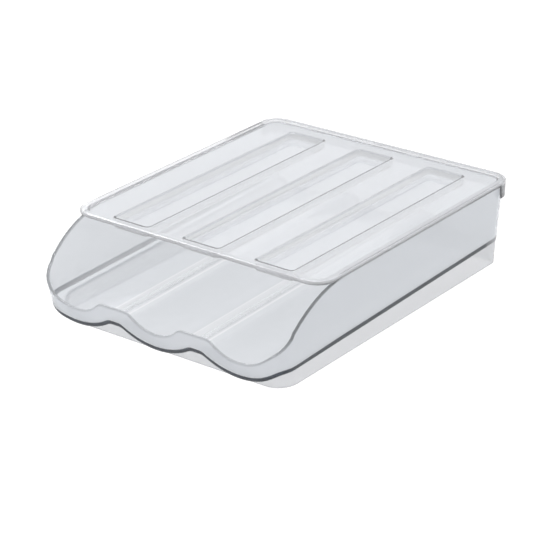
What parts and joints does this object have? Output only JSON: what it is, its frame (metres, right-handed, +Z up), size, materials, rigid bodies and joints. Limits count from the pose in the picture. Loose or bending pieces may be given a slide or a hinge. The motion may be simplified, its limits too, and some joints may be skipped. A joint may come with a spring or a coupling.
{
  "type": "egg storage box",
  "caption": "Clear egg keeper with sloping wavy lanes on a low stand, a swept open front with a pick-out lip, and a lift-off lid with sunk panels.",
  "frame": {"origin": "on the ground, at the middle of the box's width and length", "axes": "+Z up, -Y towards the pick-out lip, X across the lanes"},
  "size_m": [0.24, 0.302, 0.075],
  "materials": {
    "lid_plastic": "clear moulded plastic, polished, faint cool grey",
    "tray_plastic": "clear moulded plastic, polished, cool grey with dark edges",
    "stand_plastic": "clear moulded plastic, lightly frosted inside"
  },
  "bodies": {
    "box": {"tray": "tray_plastic", "stand": "stand_plastic"},
    "cover": {"lid": "lid_plastic"}
  },
  "joints": [
    {"name": "lid_lift", "type": "slide", "parent": "box", "child": "cover", "axis": [0, 0, 1], "range_m": [0, 0.09]}
  ]
}
